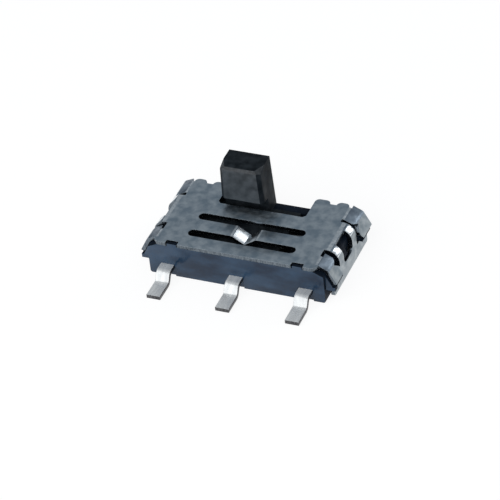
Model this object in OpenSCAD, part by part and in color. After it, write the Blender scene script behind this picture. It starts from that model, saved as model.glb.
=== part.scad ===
// Miniature slide switch for surface mounting, pushed along X by an upright knob.
// Millimetres. X runs along the travel, -Y is the side that the leads leave, +Z is up.
// The origin is the middle of the housing's underside, on the board.

/* [Slider and travel] */
// Distance between the two switch positions
travel = 1.3; // [0.8:0.1:2]
// Width of the knob's foot along the travel
knob_w = 1.62; // [1:0.02:2]
// Taper of the knob's two sides
knob_draft = 2; // [0:0.5:4]
// Depth of the knob, front to back
knob_d = 1; // [0.9:0.05:1.1]
// Height of the knob above the cover
knob_h = 1.62; // [0.8:0.02:3]
// Flat cut off the knob's front corners
knob_chamfer = 0.12; // [0.06:0.02:0.2]
// How far the knob's foot stands back behind its front face
undercut_d = 0.36; // [0.3:0.02:0.4]
// Height of that undercut above the cover
undercut_h = 0.28; // [0.1:0.02:0.4]
// Length of the slider's carriage inside the housing
carriage_l = 3.7; // [3.4:0.1:4]

/* [Housing] */
// Depth of the housing, front to back
base_d = 3.5; // [3.3:0.1:4]
// Height of the housing under the cover
base_h = 1.27; // [1.2:0.01:1.4]
// Thickness of the end walls
end_wall = 0.62; // [0.5:0.02:0.8]
// Thickness of the front wall
front_wall = 0.45; // [0.35:0.05:0.55]
// Thickness of the rear wall
rear_wall = 0.35; // [0.25:0.05:0.45]
// Height of the rear wall where the knob passes over it
low_wall_h = 0.98; // [0.9:0.02:1]

/* [Cover] */
// Thickness of the sheet
sheet_t = 0.13; // [0.1:0.01:0.15]
// Outside radius of the folds at the ends
fold_r = 0.45; // [0.36:0.01:0.5]
// Length of the two slots beside the detent leaf
slot_l = 3.88; // [3:0.02:4.2]
// Width of each slot
slot_w = 0.35; // [0.2:0.01:0.36]
// Width of the detent leaf between the slots
leaf_w = 0.58; // [0.5:0.02:0.6]
// Depth of the fold in the leaf that drops into the slider
leaf_dip = 0.3; // [0.26:0.01:0.34]
// Gap between the knob and the cover's opening at each end of the travel
opening_gap = 0.14; // [0.1:0.02:0.3]
// Slope of the flared corner lugs, down from level
lug_angle = 62; // [55:1:70]
// Length of the flared corner lugs below their lower fold
lug_l = 0.58; // [0.5:0.02:0.62]

/* [Leads] */
// Distance from lead to lead
lead_pitch = 2.5; // [2.4:0.05:2.6]
// Width of a lead
lead_w = 0.5; // [0.4:0.02:0.6]
// Thickness of a lead
lead_t = 0.15; // [0.12:0.01:0.18]
// How far the leads stand out beyond the housing
lead_out = 1.35; // [1.2:0.05:1.8]
// Length of the flat foot that is soldered
foot_l = 0.7; // [0.5:0.05:0.8]
// Height of a lead's underside above the board where it leaves the housing
lead_rise = 0.325; // [0.28:0.005:0.36]

/* [Hidden] */

arc_step = 9;           // angle between the points of an arc
slide_gap = 0.06;       // beside the carriage, on each side
lift_gap = 0.02;        // under and over what slides
seam = 0.05;            // a fold starts this far inside the sheet that it grows from
cut = 0.2;              // a cutting shape runs this far past the face that it opens

// Housing
floor_z = lead_rise + lead_t;                           // the terminals lie level with the floor
cavity_l = carriage_l + travel + 2 * slide_gap;
base_l = cavity_l + 2 * end_wall;
front_y = -base_d / 2;
rear_y = base_d / 2;
cavity_y0 = front_y + front_wall;
cavity_y1 = rear_y - rear_wall;
edge_cut = 0.05;                                        // bevel round the underside
nub_x = 2.265;                                          // middle of the cover's locating nubs
nub_w = 0.35;
nub_d = 0.13;
nub_gap = 0.04;
relief_w = lead_w + 0.02;                               // notch under each lead's exit
relief_d = 0.06;

// Cover
cover_z = base_h + sheet_t;                             // top of the cover
end_gap = 0.06;                                         // between the housing's end and the band
flange_x = base_l / 2 + end_gap + sheet_t;              // outside of the band
fold_x = flange_x - fold_r;                             // where the top sheet starts to fold
plate_x = fold_x - 0.08;                                // end of the level sheet at the lugs
plate_y0 = front_y - 0.02;
corner_r = 0.25;                                        // the plate's front corners
plate_y1 = rear_y - 0.08;
leaf_y = front_y + 1.2;                                 // middle of the detent leaf
slot_y = leaf_w / 2 + slot_w / 2;                       // from the leaf's middle to a slot's
opening_w = knob_w + travel + 2 * opening_gap;
knob_y1 = rear_y - 0.05;                                // back of the knob
knob_y0 = knob_y1 - knob_d;
opening_d = 1;
opening_y = rear_y - opening_d;                         // front edge of the knob's opening
opening_r = 0.1;
scallop_r = 0.17;                                       // bumps along the rear edge
valley_x = (opening_w / 2 + plate_x) / 2 + seam;        // middle of the valley between two bumps
valley_w = 0.24;
neck_w = 1.55;                                          // strap between cover and band
neck_back = 0.825;                                      // from the strap to the plate's rear edge
neck_y = plate_y1 - neck_back - neck_w / 2;
neck_y0 = neck_y - neck_w / 2;
neck_y1 = neck_y + neck_w / 2;
window_w = 0.81;
window_z = 0.6;                                         // lower edge of the window
window_run = 0.29;
window_x = flange_x - window_run;                       // where the window starts in the top
window_r = 0.22;
slit_w = 0.155;                                         // between the strap and the lugs
tear_w = 0.1;                                           // the front slits turn along the fold
tear_l = 0.2;
band_z = 0.03;
band_y0 = front_y + 0.39;

// Corner lugs: a gentle fold, a shelf, then a steep fold
shelf_a = 25;                                           // slope of the shelf
shelf_l = 0.44;
lug_r = 0.12;                                           // radius of both folds, on the middle of the sheet
lug_in_r = lug_r + sheet_t / 2;
lug_t1 = lug_in_r * tan(shelf_a / 2);
lug_t2 = lug_in_r * tan((lug_angle - shelf_a) / 2);
lug_x = plate_x + lug_t1;                               // the gentle fold, in the top surface
crease = [lug_x + shelf_l * cos(shelf_a), cover_z - shelf_l * sin(shelf_a)];
lug_end = crease + lug_l * [cos(lug_angle), -sin(lug_angle)];
lug_front_y = plate_y0 + corner_r;
lug_rear_y = rear_y + 0.08;
lug_corner = 0.12;                                      // lower corner beside the slit
lug_notch = 0.24;                                       // the slit widens to this at the steep fold
ear_gap = 0.03;                                         // between the lugs and the housing
ear_in = sheet_t + ear_gap;
ear_crease = crease - ear_in / cos((lug_angle - shelf_a) / 2)
    * [sin((lug_angle + shelf_a) / 2), cos((lug_angle + shelf_a) / 2)];
ear_top_z = ear_crease[1] - (base_l / 2 - ear_crease[0]) * tan(lug_angle);
ear_low = lug_end - ear_in * [sin(lug_angle), cos(lug_angle)];
ear_t = 0.03;
ear_z = ear_low[1] - ear_gap - ear_t;                   // underside of the housing's ears
ear_x = lug_end[0] - 0.04;
ear_front_y = lug_front_y - 0.08;
ear_toe = 0.12;                                         // the ears hang lower in front of the band
band_h = ear_z - ear_gap - band_z;                      // band that wraps the foot of each end

// Detent leaf: the two slopes of its fold, seen along Y
leaf_run_a = 0.46;                                      // on the left of the lowest point
leaf_run_b = 0.46;                                      // on the right of it
leaf_r = 0.1;
leaf_a = atan(leaf_dip / leaf_run_a);
leaf_b = atan(leaf_dip / leaf_run_b);
leaf_half = (leaf_a + leaf_b) / 2;
leaf_t_a = leaf_r * tan(leaf_a / 2);
leaf_t_mid = leaf_r * tan(leaf_half);
leaf_t_b = leaf_r * tan(leaf_b / 2);
leaf_tip_z = cover_z - sheet_t - leaf_dip + leaf_r * (1 / cos(leaf_half) - 1);

// Slider
slider_x = -travel / 2;                                 // middle of the slider at rest
carriage_y0 = cavity_y0 + slide_gap;
carriage_y1 = cavity_y1 - slide_gap;
carriage_z0 = floor_z + 0.125;
detent_lift = 0.03;                                     // how far the leaf rises between positions
track_z = leaf_tip_z + detent_lift;
carriage_z1 = track_z + 0.04;
rail_z = base_h - lift_gap;
rail_w = 0.12;
rail_d = 0.33;
rail_y = opening_y - 0.2 - rail_d;                      // rail between the rear slot and the opening
top_edge_d = 0.06;                                      // bevel along the front of the knob's top
top_edge_h = 0.12;
top_side = 0.15;                                        // broader bevel that runs out along the sides
top_side_l = 0.5;
top_side_a = 66;                                        // its direction from the knob's front
knob_z = cover_z + knob_h;
knob_foot_z = low_wall_h + 0.04;
track_gap = 0.08;                                       // on both sides of the leaf
track_w = leaf_w + 2 * track_gap;
notch_w = 0.42;
notch_d = 0.1;
pocket_gap = 0.05;

// Moving contact and the pads that it slides on
contact_t = 0.08;
contact_w = 0.5;
contact_y = knob_y0 - 0.15;
contact_flat = 0.7;
contact_arm = 0.42;
contact_a = 25;                                         // slope of the arms
contact_hook_a = 50;                                    // slope of the turned-up ends
contact_hook = 0.06;
contact_knee_r = 0.1;
contact_tip_r = 0.07;
contact_low_z = floor_z + lift_gap + contact_t / 2;
contact_top_z = contact_low_z + contact_arm * sin(contact_a)
    + (contact_knee_r + contact_tip_r) * (1 - cos(contact_a)) + contact_t / 2;
contact_half = contact_flat / 2 + contact_arm * cos(contact_a) + contact_knee_r * sin(contact_a)
    + contact_tip_r * (sin(contact_a) + sin(contact_hook_a)) + contact_hook * cos(contact_hook_a)
    + contact_t;
pad_d = contact_w + 0.15;
pad_common_w = 1.1;
pad_split = 0.35;                                       // gap between neighbouring pads

// Leads, seen along X
lead_r = 0.18;                                          // fold radius on the middle of the lead
lead_a = 60;
lead_slope = (lead_rise - 2 * lead_r * (1 - cos(lead_a))) / sin(lead_a);
lead_fall = 2 * lead_r * sin(lead_a) + lead_slope * cos(lead_a);
lead_run = lead_out - foot_l - lead_fall;

// --- Shapes shared by the parts ---

// Points of an arc round [cx, cy]
function arc(cx, cy, r, a0, a1) = let (n = ceil(abs(a1 - a0) / arc_step))
    [for (i = [0:n]) let (a = a0 + (a1 - a0) * i / n) [cx + r * cos(a), cy + r * sin(a)]];

// Rectangle with its corners rounded
function round_rect(x0, y0, x1, y1, r) = concat(
    arc(x1 - r, y0 + r, r, -90, 0), arc(x1 - r, y1 - r, r, 0, 90),
    arc(x0 + r, y1 - r, r, 90, 180), arc(x0 + r, y0 + r, r, 180, 270));

// Middle line of a folded strip, as [point, heading] pairs. Each step goes straight for
// step[0], then turns by step[1] degrees on a radius of step[2].
function course(steps, p, h, i = 0) = i == len(steps) ? [[p, h]] :
    let (run = steps[i][0], turn = steps[i][1], r = steps[i][2],
         q = p + run * [cos(h), sin(h)],
         side = sign(turn),
         c = q + side * r * [-sin(h), cos(h)],
         n = ceil(abs(turn) / arc_step))
    concat(run > 0 ? [[p, h]] : [],
           turn == 0 ? [] : [for (k = [0:n - 1]) let (g = h + turn * k / n)
                             [c - side * r * [-sin(g), cos(g)], g]],
           course(steps, turn == 0 ? q : c - side * r * [-sin(h + turn), cos(h + turn)],
                  h + turn, i + 1));

// Outline of a strip of thickness t along that line
function strip(steps, t, p, h = 0) = let (c = course(steps, p, h), n = len(c)) concat(
    [for (s = c) s[0] + t / 2 * [-sin(s[1]), cos(s[1])]],
    [for (i = [n - 1:-1:0]) c[i][0] - t / 2 * [-sin(c[i][1]), cos(c[i][1])]]);

// A shape drawn in X and Z, stretched along Y from y0 to y1
module along_y(y0, y1) {
    translate([0, y1, 0]) rotate([90, 0, 0]) linear_extrude(y1 - y0) children();
}

// A box given by its two corners
module block(a, b) {
    translate(a) cube(b - a);
}

// The same thing at both ends
module both_ends() {
    children();
    mirror([1, 0, 0]) children();
}

// --- Housing ---

module base_profile() {
    side = [[base_l / 2, ear_top_z], ear_crease,
            [ear_crease[0] - (base_h - ear_crease[1]) / tan(shelf_a), base_h]];
    polygon(concat(
        [[-base_l / 2 + edge_cut, 0], [base_l / 2 - edge_cut, 0], [base_l / 2, edge_cut]],
        side, [for (i = [2:-1:0]) [-side[i][0], side[i][1]]],
        [[-base_l / 2, edge_cut]]));
}

// Wedge on the end wall that the cover's window snaps over
module boss() {
    reach = 0.13;
    boss_w = window_w / 2;
    boss_h = 0.42;
    boss_z = window_z + 0.1;
    y0 = neck_y - window_w / 2 + 0.06;
    along_y(y0, y0 + boss_w) polygon([
        [base_l / 2 - seam, boss_z], [base_l / 2 + reach, boss_z],
        [base_l / 2 - seam, boss_z + boss_h]]);
}

// Ears under the lugs, with a toe in front of the cover's band
module ear(y0, y1) {
    along_y(y0, y1) polygon([
        [base_l / 2 - seam, ear_z], [ear_x, ear_z], [ear_x, ear_low[1] - ear_gap],
        [ear_low[0], ear_low[1] - ear_gap], ear_low, [base_l / 2, ear_top_z],
        [base_l / 2 - seam, ear_top_z]]);
}

module ears() {
    ear(ear_front_y, neck_y0 - slit_w);
    ear(neck_y1 + slit_w, rear_y);
    block([base_l / 2 - seam, ear_front_y, ear_z - ear_toe],
          [ear_x, band_y0 - ear_gap, ear_z + ear_t / 2]);
}

// Nub on the front wall that fits the cover's notch
module nub() {
    block([nub_x - nub_w / 2, front_y, base_h - seam],
          [nub_x + nub_w / 2, front_y + nub_d, cover_z - nub_gap]);
}

module base() {
    color([0.16, 0.20, 0.27]) {
        difference() {
            along_y(front_y, rear_y) base_profile();
            block([-cavity_l / 2, cavity_y0, floor_z], [cavity_l / 2, cavity_y1, base_h + cut]);
            block([-opening_w / 2, cavity_y1 - cut, low_wall_h],
                  [opening_w / 2, rear_y + cut, base_h + cut]);
            terminal_shape(-1);
            terminal_shape(0);
            terminal_shape(1);
            for (i = [-1:1])
                block([i * lead_pitch - relief_w / 2, front_y - cut, -cut],
                      [i * lead_pitch + relief_w / 2, front_y + relief_d, lead_rise]);
        }
        both_ends() {
            boss();
            nub();
            ears();
        }
    }
}

// --- Cover ---

// Bump along the plate's rear edge, from x0 to x1
function bump(x0, x1) = concat(
    [[x0, plate_y1 - seam], [x1, plate_y1 - seam]],
    arc(x1 - scallop_r, plate_y1, scallop_r, 0, 90), arc(x0 + scallop_r, plate_y1, scallop_r, 90, 180));

module plate_outline() {
    half_w = opening_w / 2;
    corner_x = fold_x + 0.04;
    side = concat([[-seam, plate_y0]],
        arc(corner_x - corner_r, plate_y0 + corner_r, corner_r, -90, 0),
        [[plate_x, lug_front_y], [plate_x, plate_y1], [-seam, plate_y1]]);
    difference() {
        for (s = [-1, 1]) {
            polygon([for (p = side) [s * p[0], p[1]]]);
            polygon([for (p = bump(half_w, valley_x - valley_w / 2)) [s * p[0], p[1]]]);
            polygon([for (p = bump(valley_x + valley_w / 2, plate_x)) [s * p[0], p[1]]]);
        }
        polygon([[-half_w + opening_r, opening_y], [half_w - opening_r, opening_y],
                 [half_w, opening_y + opening_r], [half_w, rear_y + cut],
                 [-half_w, rear_y + cut], [-half_w, opening_y + opening_r]]);
        for (s = [-1, 1]) {
            translate([0, leaf_y + s * slot_y])
                polygon(round_rect(-slot_l / 2, -slot_w / 2, slot_l / 2, slot_w / 2, slot_w / 2));
            translate([s * nub_x - nub_w / 2 - nub_gap, plate_y0 - cut])
                square([nub_w + 2 * nub_gap, cut + nub_d + nub_gap]);
        }
    }
}

// The leaf's fold: down into the slider's notch and up again
module leaf_fold() {
    start = [-leaf_run_a - leaf_t_a - seam, cover_z - sheet_t / 2];
    along_y(leaf_y - leaf_w / 2, leaf_y + leaf_w / 2) polygon(strip([
        [seam, -leaf_a, leaf_r],
        [leaf_run_a / cos(leaf_a) - leaf_t_a - leaf_t_mid, leaf_a + leaf_b, leaf_r],
        [leaf_run_b / cos(leaf_b) - leaf_t_mid - leaf_t_b, -leaf_b, leaf_r],
        [seam, 0, 0]], sheet_t, start));
}

// Strap, window and band that fold down over one end
module end_strap() {
    mid_z = cover_z - sheet_t / 2;
    mid_r = fold_r - sheet_t / 2;
    drop = mid_z - mid_r - band_z;
    difference() {
        along_y(neck_y0, neck_y1)
            polygon(strip([[fold_x - plate_x + seam, -90, mid_r], [drop, 0, 0]], sheet_t,
                          [plate_x - seam, mid_z]));
        block([window_x, neck_y - window_w / 2, window_z + window_r],
              [flange_x + cut, neck_y + window_w / 2, cover_z + cut]);
        translate([flange_x - sheet_t - cut, 0, 0]) rotate([90, 0, 90])
            linear_extrude(sheet_t + 2 * cut)
                polygon(round_rect(neck_y - window_w / 2, window_z, neck_y + window_w / 2,
                                   window_z + 2.5 * window_r, window_r));
    }
    translate([flange_x - sheet_t, 0, 0]) rotate([90, 0, 90]) linear_extrude(sheet_t)
        polygon(round_rect(band_y0, band_z, rear_y, band_z + band_h, 0.08));
}

// One flared corner lug, between the slit beside the strap and its outer end
module lug(slit_y, outer_y) {
    d = sign(outer_y - slit_y);
    low_z = lug_end[1] - sheet_t;
    outline = [
        [slit_y, cover_z + cut], [slit_y, crease[1] + 0.04],
        [slit_y + d * lug_notch, crease[1] - 0.08], [slit_y, lug_end[1] + 2 * lug_corner],
        [slit_y, lug_end[1] + lug_corner], [slit_y + d * lug_corner, low_z],
        [outer_y, low_z], [outer_y, cover_z + cut]];
    intersection() {
        along_y(min(slit_y, outer_y), max(slit_y, outer_y)) polygon(strip([
            [seam, -shelf_a, lug_r],
            [shelf_l - lug_t1 - lug_t2, shelf_a - lug_angle, lug_r],
            [lug_l - lug_t2, 0, 0]], sheet_t, [plate_x - seam, cover_z - sheet_t / 2]));
        translate([plate_x - cut, 0, 0]) rotate([90, 0, 90])
            linear_extrude(lug_end[0] + 2 * cut - plate_x) polygon(outline);
    }
}

module cover() {
    color([0.52, 0.58, 0.62]) {
        difference() {
            translate([0, 0, base_h]) linear_extrude(sheet_t) plate_outline();
            block([-leaf_run_a - leaf_t_a, leaf_y - leaf_w / 2, base_h - cut],
                  [leaf_run_b + leaf_t_b, leaf_y + leaf_w / 2, cover_z + cut]);
        }
        leaf_fold();
        both_ends() {
            end_strap();
            difference() {
                lug(neck_y0 - slit_w, lug_front_y);
                block([plate_x, neck_y0 - slit_w - tear_l, base_h - cut],
                      [plate_x + tear_w, neck_y0, cover_z + cut]);
            }
            difference() {
                lug(neck_y1 + slit_w, lug_rear_y);
                block([plate_x - cut, plate_y1, base_h - cut],
                      [plate_x + tear_w, rear_y + cut, cover_z + cut]);
            }
        }
    }
}

// --- Slider ---

// Wedge of length l that bevels an upper edge by d and h, on a face that looks along -Y at y = 0
module top_edge(l, d, h) {
    rotate([90, 0, 90]) translate([0, 0, -l / 2]) linear_extrude(l)
        polygon([[-d, -2 * h], [2 * d, h], [-d, h]]);
}

module knob() {
    rise = knob_z - knob_foot_z;
    x0 = knob_w / 2;
    x1 = x0 - rise * tan(knob_draft);
    difference() {
        along_y(knob_y0, knob_y1) polygon([[-x0, knob_foot_z], [x0, knob_foot_z],
                                           [x1, knob_z], [-x1, knob_z]]);
        block([-x0 - cut, knob_y0 - cut, knob_foot_z - cut],
              [x0 + cut, knob_y0 + undercut_d, cover_z + undercut_h]);
        translate([0, knob_y0, knob_z]) top_edge(knob_w, top_edge_d, top_edge_h);
        both_ends() {
            translate([x0, knob_y0, knob_foot_z]) rotate([0, -knob_draft, 0])
                translate([0, 0, -cut]) linear_extrude(rise + 2 * cut)
                    polygon([[-knob_chamfer - cut, -cut], [cut, knob_chamfer + cut], [cut, -cut]]);
            translate([x1, knob_y0 + top_side_l, knob_z]) rotate([0, 0, top_side_a])
                translate([0, -top_side, 0]) top_edge(2 * top_side_l, top_side, top_side);
        }
    }
}

module carriage() {
    half_l = carriage_l / 2;
    pocket_l = contact_half + pocket_gap;
    difference() {
        union() {
            block([-half_l, carriage_y0, carriage_z0], [half_l, carriage_y1, carriage_z1]);
            block([-half_l, carriage_y0, carriage_z0], [half_l, carriage_y0 + rail_w, rail_z]);
            block([-half_l, rail_y, carriage_z0], [half_l, rail_y + rail_d, rail_z]);
            block([-half_l, carriage_y0, floor_z + lift_gap],
                  [half_l, carriage_y0 + rail_w, carriage_z0]);
            block([-half_l, carriage_y1 - rail_w, floor_z + lift_gap],
                  [half_l, carriage_y1, carriage_z0]);
        }
        block([-half_l - cut, leaf_y - track_w / 2, track_z],
              [half_l + cut, leaf_y + track_w / 2, base_h + cut]);
        for (s = [-1, 1])
            translate([s * travel / 2, 0, 0]) along_y(leaf_y - track_w / 2, leaf_y + track_w / 2)
                polygon([[-notch_w / 2, track_z + seam], [-notch_w / 2, track_z],
                         [0, track_z - notch_d], [notch_w / 2, track_z],
                         [notch_w / 2, track_z + seam]]);
        block([-pocket_l, contact_y - contact_w / 2 - pocket_gap, carriage_z0 - cut],
              [pocket_l, contact_y + contact_w / 2 + pocket_gap, contact_top_z + lift_gap]);
    }
}

module slider() {
    color([0.15, 0.17, 0.19]) translate([slider_x, 0, 0]) {
        knob();
        carriage();
        // Web that carries the knob on the back of the carriage
        block([-knob_w / 2 + seam, knob_y0 + undercut_d, carriage_z1 - seam],
              [knob_w / 2 - seam, carriage_y1, knob_foot_z + seam]);
    }
}

// --- Contacts ---

module moving_contact() {
    arm = [contact_arm, -contact_a, contact_knee_r];
    hook_turn = contact_a + contact_hook_a;
    hook_drop = contact_hook * sin(contact_hook_a) + contact_tip_r * (1 - cos(contact_hook_a));
    half = contact_half - contact_t;
    color([0.80, 0.68, 0.42])
        translate([slider_x, 0, 0]) along_y(contact_y - contact_w / 2, contact_y + contact_w / 2)
            polygon(strip([
                [contact_hook, hook_turn, contact_tip_r], arm,
                [contact_flat, -contact_a, contact_knee_r],
                [contact_arm, hook_turn, contact_tip_r],
                [contact_hook, 0, 0]],
                contact_t, [-half, contact_low_z + hook_drop], -contact_hook_a));
}

// Terminal i: -1 left, 0 common, 1 right
module terminal_shape(i) {
    pad_y = contact_y + pad_d / 2;
    gull = strip([
        [pad_y - front_y + lead_run, -lead_a, lead_r],
        [lead_slope, lead_a, lead_r],
        [foot_l, 0, 0]], lead_t, [-pad_y, lead_rise + lead_t / 2]);
    translate([i * lead_pitch - lead_w / 2, 0, 0]) rotate([90, 0, -90]) mirror([0, 0, 1])
        linear_extrude(lead_w) polygon(gull);
    translate([0, 0, lead_rise]) linear_extrude(lead_t) {
        if (i == 0)
            translate([-pad_common_w / 2, contact_y - pad_d / 2]) square([pad_common_w, pad_d]);
        else
            mirror([i < 0 ? 1 : 0, 0, 0])
                translate([pad_common_w / 2 + pad_split, contact_y - pad_d / 2])
                    square([lead_pitch + lead_w / 2 - pad_common_w / 2 - pad_split, pad_d]);
    }
}

module terminal_left() {
    color([0.78, 0.79, 0.80]) terminal_shape(-1);
}

module terminal_common() {
    color([0.78, 0.79, 0.80]) terminal_shape(0);
}

module terminal_right() {
    color([0.78, 0.79, 0.80]) terminal_shape(1);
}

base();
cover();
slider();
moving_contact();
terminal_left();
terminal_common();
terminal_right();
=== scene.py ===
"""Looks of a miniature slide switch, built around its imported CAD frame.

Each CAD node gets a finer piece in its place: the same solid with its flat faces joined, its
sharp edges rounded and a procedural material. Sizes are in millimetres, times MM.
"""

import math

import bmesh
import bpy
from mathutils import Matrix, Vector
from mathutils.bvhtree import BVHTree


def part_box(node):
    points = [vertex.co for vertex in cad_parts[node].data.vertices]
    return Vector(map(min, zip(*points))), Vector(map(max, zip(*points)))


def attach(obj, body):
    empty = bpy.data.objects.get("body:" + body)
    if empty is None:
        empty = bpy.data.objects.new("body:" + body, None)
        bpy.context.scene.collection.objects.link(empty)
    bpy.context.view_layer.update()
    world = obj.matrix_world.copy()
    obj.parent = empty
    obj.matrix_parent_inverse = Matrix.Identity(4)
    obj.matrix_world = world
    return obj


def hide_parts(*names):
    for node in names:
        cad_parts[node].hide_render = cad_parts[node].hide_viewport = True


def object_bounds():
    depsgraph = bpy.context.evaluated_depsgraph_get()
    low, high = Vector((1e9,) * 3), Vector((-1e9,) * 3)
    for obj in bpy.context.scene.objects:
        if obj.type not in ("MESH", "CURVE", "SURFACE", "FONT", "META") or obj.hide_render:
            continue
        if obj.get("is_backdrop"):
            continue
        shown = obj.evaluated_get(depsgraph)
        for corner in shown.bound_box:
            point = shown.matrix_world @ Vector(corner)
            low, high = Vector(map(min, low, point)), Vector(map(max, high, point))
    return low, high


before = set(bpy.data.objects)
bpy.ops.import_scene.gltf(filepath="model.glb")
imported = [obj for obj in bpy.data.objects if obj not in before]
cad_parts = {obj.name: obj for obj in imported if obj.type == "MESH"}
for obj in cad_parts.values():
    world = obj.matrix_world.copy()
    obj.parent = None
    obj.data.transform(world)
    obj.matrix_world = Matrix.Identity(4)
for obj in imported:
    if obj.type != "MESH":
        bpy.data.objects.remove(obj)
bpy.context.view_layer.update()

MM = 0.001

# Camera, seen from the front right and from above
AZIMUTH = 26.27
ELEVATION = 38.08
ROLL = -6.86
DISTANCE = 101.03 * MM
LENS_MM = 216
SENSOR_MM = 36
AIM_FROM_HOUSING = Vector((0.04, -0.54, -0.01)) * MM

# Studio
FLOOR_SIZE = 1200 * MM
LAMP_DISTANCE = 120 * MM

# The middle of a noise's range, where nearly all of its values lie
NOISE_LOW = 0.35
NOISE_HIGH = 0.65

# Meshes
WELD = 1e-4 * MM
FLAT = math.radians(0.4)
SHARP = math.radians(22)
EDGE_STEPS = 3

# The cover's sheet, what is too thick to be it, a step off a surface, and half a strap's width
SHEET = 0.13 * MM
THICK = 1.3 * SHEET
SKIN = 0.01 * SHEET
STRAP_HALF = 0.85 * MM

# Places of each piece's materials in its list
# The cover's cut-edge, shelf and wall materials are darker copies, painted shade; its polished and
# worn ones are lighter, painted highlights.
PLAIN, SHEARED_AND_SHADED, POLISH_AND_HIGHLIGHT, WEAR_AND_HIGHLIGHT, SLOPE_PAINTED_SHADE, WALL_PAINTED_SHADE = range(6)
# Inner is the housing's darker matt copy, painted shade.
POLISHED, INNER_SHADED = range(2)
# The slider's bevel material is a painted highlight, its side material a darker copy, painted shade.
FRONT, BEVEL, SIDE_SHADED = range(3)
FACE, CUT_SHADED = range(2)
OWN = -1

# How far up a face of the cover looks, as its normal's Z
LEVEL = 0.9995
FOLD_START = 0.93
SHELF = 0.87
STEEP = 0.52
UNDERSIDE = -0.5

# How squarely a face of another piece looks along an axis
HARDLY = 0.2
PARTLY = 0.3
MOSTLY = 0.9
FULLY = 0.95


# --- Shader parts ---

def tree_of(name):
    """A new material with its node tree and shader."""
    material = bpy.data.materials.new(name)
    material.use_nodes = True
    tree = material.node_tree
    return material, tree, tree.nodes["Principled BSDF"]


def noise(tree, size, detail, stretch=(1, 1, 1)):
    """Noise with blots of about size millimetres, drawn out along the axes by stretch."""
    place = tree.nodes.new("ShaderNodeTexCoord")
    scale = tree.nodes.new("ShaderNodeMapping")
    scale.inputs["Scale"].default_value = [1 / (size * s * MM) for s in stretch]
    node = tree.nodes.new("ShaderNodeTexNoise")
    node.inputs["Scale"].default_value = 1.0
    node.inputs["Detail"].default_value = detail
    tree.links.new(place.outputs["Object"], scale.inputs["Vector"])
    tree.links.new(scale.outputs["Vector"], node.inputs["Vector"])
    return node.outputs["Fac"]


def spread(tree, value, low, high):
    """A noise mapped to the range from low to high."""
    node = tree.nodes.new("ShaderNodeMapRange")
    node.inputs["From Min"].default_value = NOISE_LOW
    node.inputs["From Max"].default_value = NOISE_HIGH
    node.inputs["To Min"].default_value = low
    node.inputs["To Max"].default_value = high
    tree.links.new(value, node.inputs["Value"])
    return node.outputs["Result"]


def tones(tree, value, dark, light):
    """A colour between dark and light, by a noise."""
    ramp = tree.nodes.new("ShaderNodeValToRGB")
    ramp.color_ramp.elements[0].position = NOISE_LOW
    ramp.color_ramp.elements[0].color = (*dark, 1)
    ramp.color_ramp.elements[1].position = NOISE_HIGH
    ramp.color_ramp.elements[1].color = (*light, 1)
    tree.links.new(value, ramp.inputs["Fac"])
    return ramp.outputs["Color"]


def dent(tree, height, depth, strength, under=None):
    """A bump of that depth in millimetres, on top of another bump if there is one."""
    node = tree.nodes.new("ShaderNodeBump")
    node.inputs["Distance"].default_value = depth * MM
    node.inputs["Strength"].default_value = strength
    tree.links.new(height, node.inputs["Height"])
    if under is not None:
        tree.links.new(under, node.inputs["Normal"])
    return node.outputs["Normal"]


# --- Materials ---

def housing_material():
    """Navy moulded plastic with a faint grain, polished by the mould at its front and back."""
    material, tree, shader = tree_of("housing_plastic")
    mottle = noise(tree, 0.5, 6, (2, 1, 1))
    tree.links.new(tones(tree, mottle, (0.006, 0.021, 0.048), (0.030, 0.068, 0.124)),
                   shader.inputs["Base Color"])
    tree.links.new(spread(tree, noise(tree, 0.25, 4), 0.14, 0.24), shader.inputs["Roughness"])
    shader.inputs["IOR"].default_value = 1.42
    tree.links.new(dent(tree, noise(tree, 0.06, 3), 0.004, 0.25), shader.inputs["Normal"])
    return material


def housing_shaded_material():
    """The same plastic on its top, ends, inside and underneath, matt and darker as painted shade."""
    material, tree, shader = tree_of("housing_shaded_matt")
    tree.links.new(tones(tree, noise(tree, 0.5, 4), (0.004, 0.008, 0.016), (0.008, 0.015, 0.028)),
                   shader.inputs["Base Color"])
    tree.links.new(spread(tree, noise(tree, 0.15, 4), 0.5, 0.7), shader.inputs["Roughness"])
    shader.inputs["IOR"].default_value = 1.2
    tree.links.new(dent(tree, noise(tree, 0.05, 3), 0.006, 0.3), shader.inputs["Normal"])
    return material


def steel_material(name, dark, light):
    """Rolled sheet, dull blue-grey with a cloudy plating and rolling lines along X."""
    material, tree, shader = tree_of(name)
    cloud = noise(tree, 0.3, 8)
    tree.links.new(tones(tree, cloud, dark, light), shader.inputs["Base Color"])
    shader.inputs["Metallic"].default_value = 1.0
    tree.links.new(spread(tree, noise(tree, 0.18, 5), 0.33, 0.45), shader.inputs["Roughness"])
    rolled = dent(tree, noise(tree, 0.03, 2, (14, 1, 1)), 0.003, 0.2)
    tree.links.new(dent(tree, noise(tree, 0.14, 5), 0.008, 0.35, rolled), shader.inputs["Normal"])
    return material


def burnished_highlight_material():
    """The same sheet where a die has stretched and polished it, much lighter as a painted highlight.
    """
    material, tree, shader = tree_of("burnished_steel_and_highlight")
    tree.links.new(tones(tree, noise(tree, 0.2, 4), (0.72, 0.77, 0.81), (0.87, 0.90, 0.92)),
                   shader.inputs["Base Color"])
    shader.inputs["Metallic"].default_value = 1.0
    tree.links.new(spread(tree, noise(tree, 0.2, 3), 0.16, 0.24), shader.inputs["Roughness"])
    tree.links.new(dent(tree, noise(tree, 0.25, 2), 0.004, 0.1), shader.inputs["Normal"])
    return material


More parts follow.
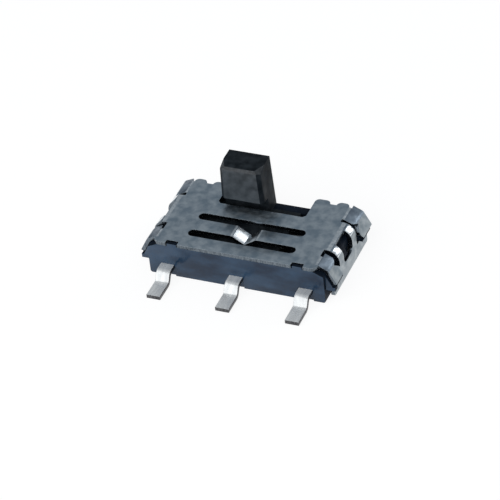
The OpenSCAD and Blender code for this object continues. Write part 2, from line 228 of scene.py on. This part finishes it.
def scuffed_highlight_material():
    """Edges and fold starts of the sheet: a worn matt line, lighter as a painted highlight."""
    material, tree, shader = tree_of("scuffed_steel_and_highlight")
    tree.links.new(tones(tree, noise(tree, 0.1, 5), (0.40, 0.46, 0.51), (0.62, 0.67, 0.70)),
                   shader.inputs["Base Color"])
    shader.inputs["Metallic"].default_value = 0.6
    tree.links.new(spread(tree, noise(tree, 0.1, 4), 0.35, 0.5), shader.inputs["Roughness"])
    tree.links.new(dent(tree, noise(tree, 0.08, 4), 0.006, 0.3), shader.inputs["Normal"])
    return material


def sheared_shade_material():
    """Cut edge of the sheet: glossier, with lines through its thickness, and darker as painted
    shade.
    """
    material, tree, shader = tree_of("sheared_steel_and_shade")
    lines = noise(tree, 0.03, 2, (1, 1, 8))
    tree.links.new(tones(tree, lines, (0.09, 0.11, 0.13), (0.18, 0.21, 0.24)),
                   shader.inputs["Base Color"])
    shader.inputs["Metallic"].default_value = 1.0
    tree.links.new(spread(tree, lines, 0.16, 0.30), shader.inputs["Roughness"])
    tree.links.new(dent(tree, lines, 0.004, 0.3), shader.inputs["Normal"])
    return material


def slider_material(name, dark, light, ior):
    """Charcoal moulded plastic, satin where its index of refraction is high, else matt."""
    material, tree, shader = tree_of(name)
    tree.links.new(tones(tree, noise(tree, 0.3, 6), dark, light), shader.inputs["Base Color"])
    tree.links.new(spread(tree, noise(tree, 0.15, 4), 0.38, 0.56), shader.inputs["Roughness"])
    shader.inputs["IOR"].default_value = ior
    tree.links.new(dent(tree, noise(tree, 0.05, 3), 0.006, 0.3), shader.inputs["Normal"])
    return material


def bevel_highlight_material():
    """The knob's bevels, lighter than its top as a painted highlight."""
    material, tree, shader = tree_of("slider_bevel_highlight")
    tree.links.new(tones(tree, noise(tree, 0.12, 5), (0.016, 0.020, 0.024), (0.044, 0.050, 0.057)),
                   shader.inputs["Base Color"])
    tree.links.new(spread(tree, noise(tree, 0.08, 4), 0.4, 0.6), shader.inputs["Roughness"])
    tree.links.new(dent(tree, noise(tree, 0.04, 3), 0.008, 0.4), shader.inputs["Normal"])
    return material


def lead_material():
    """Tin plating with fine lines along the lead."""
    material, tree, shader = tree_of("lead_metal")
    lines = noise(tree, 0.09, 3, (1, 7, 7))
    tree.links.new(tones(tree, lines, (0.80, 0.81, 0.81), (0.95, 0.96, 0.95)),
                   shader.inputs["Base Color"])
    shader.inputs["Metallic"].default_value = 0.4
    tree.links.new(spread(tree, noise(tree, 0.2, 4), 0.24, 0.36), shader.inputs["Roughness"])
    tree.links.new(dent(tree, lines, 0.003, 0.15), shader.inputs["Normal"])
    return material


def cut_lead_shade_material():
    """Bare metal on the leads' cut sides, darkened as painted shade."""
    material, tree, shader = tree_of("lead_cut_shaded")
    lines = noise(tree, 0.03, 2, (1, 1, 8))
    tree.links.new(tones(tree, lines, (0.05, 0.05, 0.055), (0.13, 0.13, 0.135)),
                   shader.inputs["Base Color"])
    shader.inputs["Metallic"].default_value = 1.0
    tree.links.new(spread(tree, lines, 0.3, 0.45), shader.inputs["Roughness"])
    tree.links.new(dent(tree, lines, 0.003, 0.25), shader.inputs["Normal"])
    return material


def bronze_material():
    """Bright spring strip, drawn along X."""
    material, tree, shader = tree_of("contact_bronze")
    lines = noise(tree, 0.03, 2, (10, 1, 1))
    tree.links.new(tones(tree, lines, (0.62, 0.46, 0.24), (0.82, 0.62, 0.36)),
                   shader.inputs["Base Color"])
    shader.inputs["Metallic"].default_value = 1.0
    tree.links.new(spread(tree, lines, 0.2, 0.34), shader.inputs["Roughness"])
    tree.links.new(dent(tree, lines, 0.002, 0.3), shader.inputs["Normal"])
    return material


# --- Pieces ---

def points_on(bm):
    """A point well inside each face: the middle of its largest triangle."""
    points, sizes = {}, {}
    for triangle in bm.calc_loop_triangles():
        a, b, c = (loop.vert.co for loop in triangle)
        face, size = triangle[0].face, (b - a).cross(c - a).length
        if size > sizes.get(face, -1):
            points[face], sizes[face] = (a + b + c) / 3, size
    return points


def refined(node, name, body, materials, edge, material_of=None, edge_material=OWN):
    """A piece in place of a CAD node, with its sharp edges rounded over a width of edge.

    material_of gives the place of a face's material; without it all faces have the first.
    edge_material is the place of the rounded edges' material, or OWN for that of their faces.
    """
    mesh = bpy.data.meshes.new(name)
    bm = bmesh.new()
    bm.from_mesh(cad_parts[node].data)
    bmesh.ops.remove_doubles(bm, verts=bm.verts, dist=WELD)
    bmesh.ops.dissolve_limit(bm, angle_limit=FLAT, verts=bm.verts, edges=bm.edges)
    solid = BVHTree.FromBMesh(bm)
    points = points_on(bm)
    for face in bm.faces:
        face.smooth = True
        face.material_index = material_of(face, points[face], solid) if material_of else 0
    bm.to_mesh(mesh)
    bm.free()
    piece = bpy.data.objects.new(name, mesh)
    bpy.context.scene.collection.objects.link(piece)
    for material in materials:
        mesh.materials.append(material)
    bevel = piece.modifiers.new("edges", "BEVEL")
    bevel.width = edge
    bevel.segments = EDGE_STEPS
    bevel.limit_method = "ANGLE"
    bevel.angle_limit = SHARP
    bevel.harden_normals = True
    bevel.material = edge_material
    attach(piece, body)
    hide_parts(node)


def sheet_finish(face, point, solid):
    """The material of a face of the cover, by the way that it faces: darker copies as painted shade,
    lighter ones as painted highlights.
    """
    hit = solid.ray_cast(point - face.normal * SKIN, -face.normal)
    # Cut edges get a dark copy: partly sheared steel, partly painted shade in the slots.
    if hit[0] is None or hit[3] > THICK:
        return SHEARED_AND_SHADED
    up = face.normal.z
    if up >= LEVEL or up <= UNDERSIDE:
        return PLAIN
    # Where folds start: worn, and lighter as a painted highlight.
    if up > FOLD_START:
        return WEAR_AND_HIGHLIGHT
    # Shelves get a darker copy of the sheet: painted shade.
    if up > SHELF:
        return SLOPE_PAINTED_SHADE
    # Steep faces and walls get a darker copy of the sheet: painted shade.
    if up <= STEEP:
        return WALL_PAINTED_SHADE
    # Slopes on the straps and leaf: polished, and lighter as a painted highlight; elsewhere the
    # darker copy.
    low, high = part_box("cover")
    on_strap = abs(point.y - (low[1] + high[1]) / 2) < STRAP_HALF
    return POLISH_AND_HIGHLIGHT if on_strap else SLOPE_PAINTED_SHADE


def moulded(face, point, solid):
    """The material of a face of the housing: polished at its front and back, where it's open;
    elsewhere the darker matt copy, painted shade.
    """
    if abs(face.normal.z) > PARTLY or abs(face.normal.x) > MOSTLY:
        # Top, ends, inside and underneath: painted shade.
        return INNER_SHADED
    hit = solid.ray_cast(point + face.normal * SKIN, face.normal)
    return POLISHED if hit[0] is None else INNER_SHADED


def rubbed(face, point, solid):
    """The material of a face of the slider: painted highlight on its bevels on top, plain plastic on
    its front and back, a darker copy as painted shade on the rest.
    """
    if point.z <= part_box("cover")[1][2]:
        return SIDE_SHADED
    # Bevels on top: painted highlight.
    if HARDLY < face.normal.z < FULLY:
        return BEVEL
    return FRONT if abs(face.normal.y) > MOSTLY else SIDE_SHADED


def stamped(face, point, solid):
    """The material of a face of a lead: its cut sides and tip stand upright and get a dark copy,
    partly bare metal, partly painted shade.
    """
    return CUT_SHADED if abs(face.normal.z) < HARDLY else FACE


housing_finishes = [housing_material(), housing_shaded_material()]
refined("base", "housing_shell", "housing", housing_finishes, 0.03 * MM,
        moulded)
sheet_finishes = [
    steel_material("cover_steel", (0.32, 0.40, 0.47), (0.58, 0.65, 0.70)),
    sheared_shade_material(),
    burnished_highlight_material(),
    scuffed_highlight_material(),
    # A darker copy of the sheet for its shelves and the slopes off the straps: painted shade.
    steel_material("slope_steel_painted_shade", (0.17, 0.21, 0.26), (0.28, 0.34, 0.40)),
    # A darker copy of the sheet for its steep faces and walls: painted shade.
    steel_material("wall_steel_painted_shade", (0.21, 0.25, 0.28), (0.38, 0.42, 0.44)),
]
refined("cover", "folded_cover", "housing", sheet_finishes, 0.035 * MM,
        sheet_finish, WEAR_AND_HIGHLIGHT)
slider_finishes = [
    slider_material("slider_plastic", (0.018, 0.023, 0.028), (0.064, 0.074, 0.084), 1.5),
    bevel_highlight_material(),
    # Darker matt copy for the knob's top, sides and hidden carriage: painted shade.
    slider_material("slider_shaded_matt", (0.008, 0.011, 0.014), (0.026, 0.032, 0.038), 1.12),
]
refined("slider", "knob_and_carriage", "slider", slider_finishes, 0.03 * MM,
        rubbed)
refined("moving_contact", "contact_spring", "slider", [bronze_material()],
        0.01 * MM)
lead_finishes = [lead_material(), cut_lead_shade_material()]
for side in ("left", "common", "right"):
    refined("terminal_" + side, "lead_" + side, "housing", lead_finishes,
            0.02 * MM, stamped)


# --- Floor, light and camera ---

def paper_material():
    """White paper. Camera, gloss and glass see it white by itself, with the object's shadow."""
    material, tree, paper = tree_of("paper")
    paper.inputs["Base Color"].default_value = (0.66, 0.72, 0.78, 1)
    paper.inputs["Roughness"].default_value = 0.9
    nodes, links = tree.nodes, tree.links
    glow = nodes.new("ShaderNodeEmission")
    glow.inputs["Strength"].default_value = 0.88
    lit = nodes.new("ShaderNodeBsdfDiffuse")
    lit.inputs["Color"].default_value = (0.2, 0.2, 0.2, 1)
    white = nodes.new("ShaderNodeAddShader")
    links.new(glow.outputs[0], white.inputs[0])
    links.new(lit.outputs[0], white.inputs[1])
    paths = nodes.new("ShaderNodeLightPath")
    sight = paths.outputs["Is Camera Ray"]
    for ray in ("Is Glossy Ray", "Is Transmission Ray"):
        either = nodes.new("ShaderNodeMath")
        either.operation = "MAXIMUM"
        links.new(sight, either.inputs[0])
        links.new(paths.outputs[ray], either.inputs[1])
        sight = either.outputs[0]
    seen = nodes.new("ShaderNodeMixShader")
    links.new(sight, seen.inputs[0])
    links.new(paper.outputs[0], seen.inputs[1])
    links.new(white.outputs[0], seen.inputs[2])
    links.new(seen.outputs[0], nodes["Material Output"].inputs["Surface"])
    return material


def floor():
    """A level sheet of paper under the object."""
    bpy.ops.mesh.primitive_plane_add(size=FLOOR_SIZE)
    plane = bpy.context.object
    plane.name = "floor"
    plane.data.materials.append(paper_material())
    plane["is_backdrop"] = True


def way(azimuth, elevation):
    """The unit vector from the object at that azimuth, with 0 in front, and elevation."""
    a, e = math.radians(azimuth), math.radians(elevation)
    return Vector((math.sin(a) * math.cos(e), -math.cos(a) * math.cos(e), math.sin(e)))


def aimed(name, data, target, back, distance, roll):
    """A lamp or camera at that distance from target along back, facing it, rolled by degrees."""
    thing = bpy.data.objects.new(name, data)
    turn = (-back).to_track_quat("-Z", "Y").to_matrix() @ Matrix.Rotation(math.radians(roll), 3, "Z")
    thing.matrix_world = Matrix.Translation(target + back * distance) @ turn.to_4x4()
    bpy.context.scene.collection.objects.link(thing)
    return thing


def softbox(name, azimuth, elevation, width, height, power, roll=0):
    """A rectangular lamp that faces the middle of the object. Its size is in millimetres."""
    light = bpy.data.lights.new(name, "AREA")
    light.shape = "RECTANGLE"
    light.size = width * MM
    light.size_y = height * MM
    light.energy = power
    low, high = (Vector(corner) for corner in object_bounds())
    aimed(name, light, (low + high) / 2, way(azimuth, elevation), LAMP_DISTANCE, roll)


def studio():
    """A grey surround, a wide lamp in front and a narrow one behind for the cover's folds."""
    world = bpy.data.worlds.new("studio")
    world.use_nodes = True
    surround = world.node_tree.nodes["Background"]
    surround.inputs["Color"].default_value = (0.47, 0.51, 0.55, 1)
    surround.inputs["Strength"].default_value = 0.58
    bpy.context.scene.world = world
    softbox("key", azimuth=-14, elevation=32, width=240, height=170, power=0.15)
    softbox("rear", azimuth=143, elevation=21, width=40, height=72, power=0.022, roll=-25)


def camera():
    """The camera, on a point near the middle of the housing."""
    low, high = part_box("base")
    data = bpy.data.cameras.new("camera")
    data.lens = LENS_MM
    data.sensor_width = SENSOR_MM
    data.clip_start = 1 * MM
    aim = (low + high) / 2 + AIM_FROM_HOUSING
    bpy.context.scene.camera = aimed("camera", data, aim, way(AZIMUTH, ELEVATION), DISTANCE, ROLL)


floor()
studio()
camera()
bpy.context.scene.view_settings.view_transform = "Standard"
